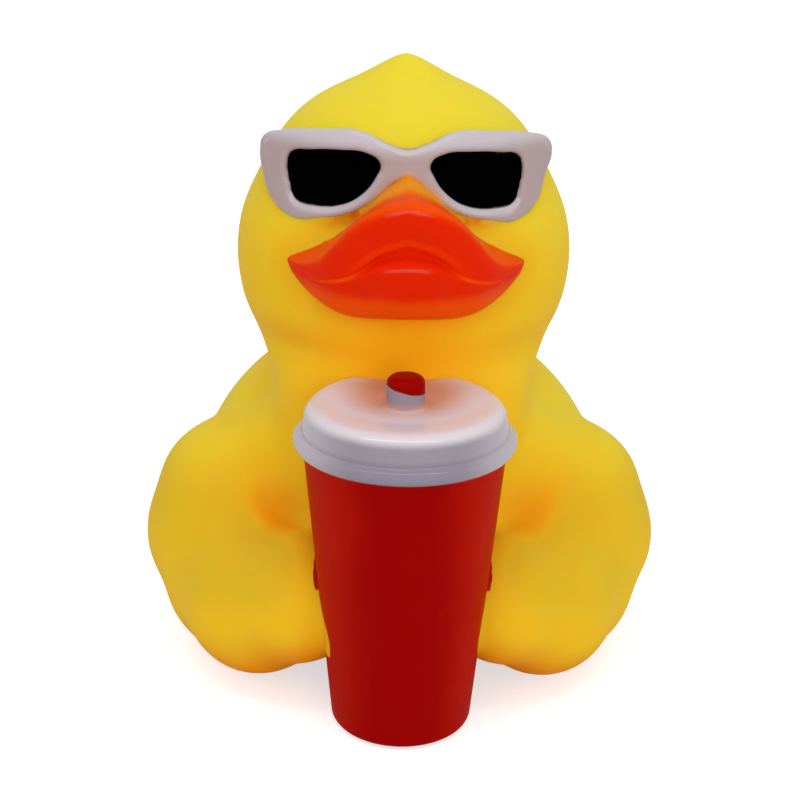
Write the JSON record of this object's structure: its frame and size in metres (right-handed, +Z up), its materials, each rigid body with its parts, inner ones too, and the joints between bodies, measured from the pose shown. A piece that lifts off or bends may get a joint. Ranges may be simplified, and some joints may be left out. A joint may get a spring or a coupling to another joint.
{
  "type": "rubber duck",
  "caption": "Hollow moulded bath duck in painted sunglasses, hugging a lidded drinking cup against its chest and standing on a flat base.",
  "frame": {"origin": "on the standing surface, under the middle of the neck", "axes": "+Z up, -Y the way the duck faces, +X towards the duck's left side"},
  "size_m": [0.0744, 0.089, 0.0855],
  "materials": {
    "vinyl": "satin"
  },
  "bodies": {
    "root": {"duck": "vinyl"}
  },
  "joints": []
}
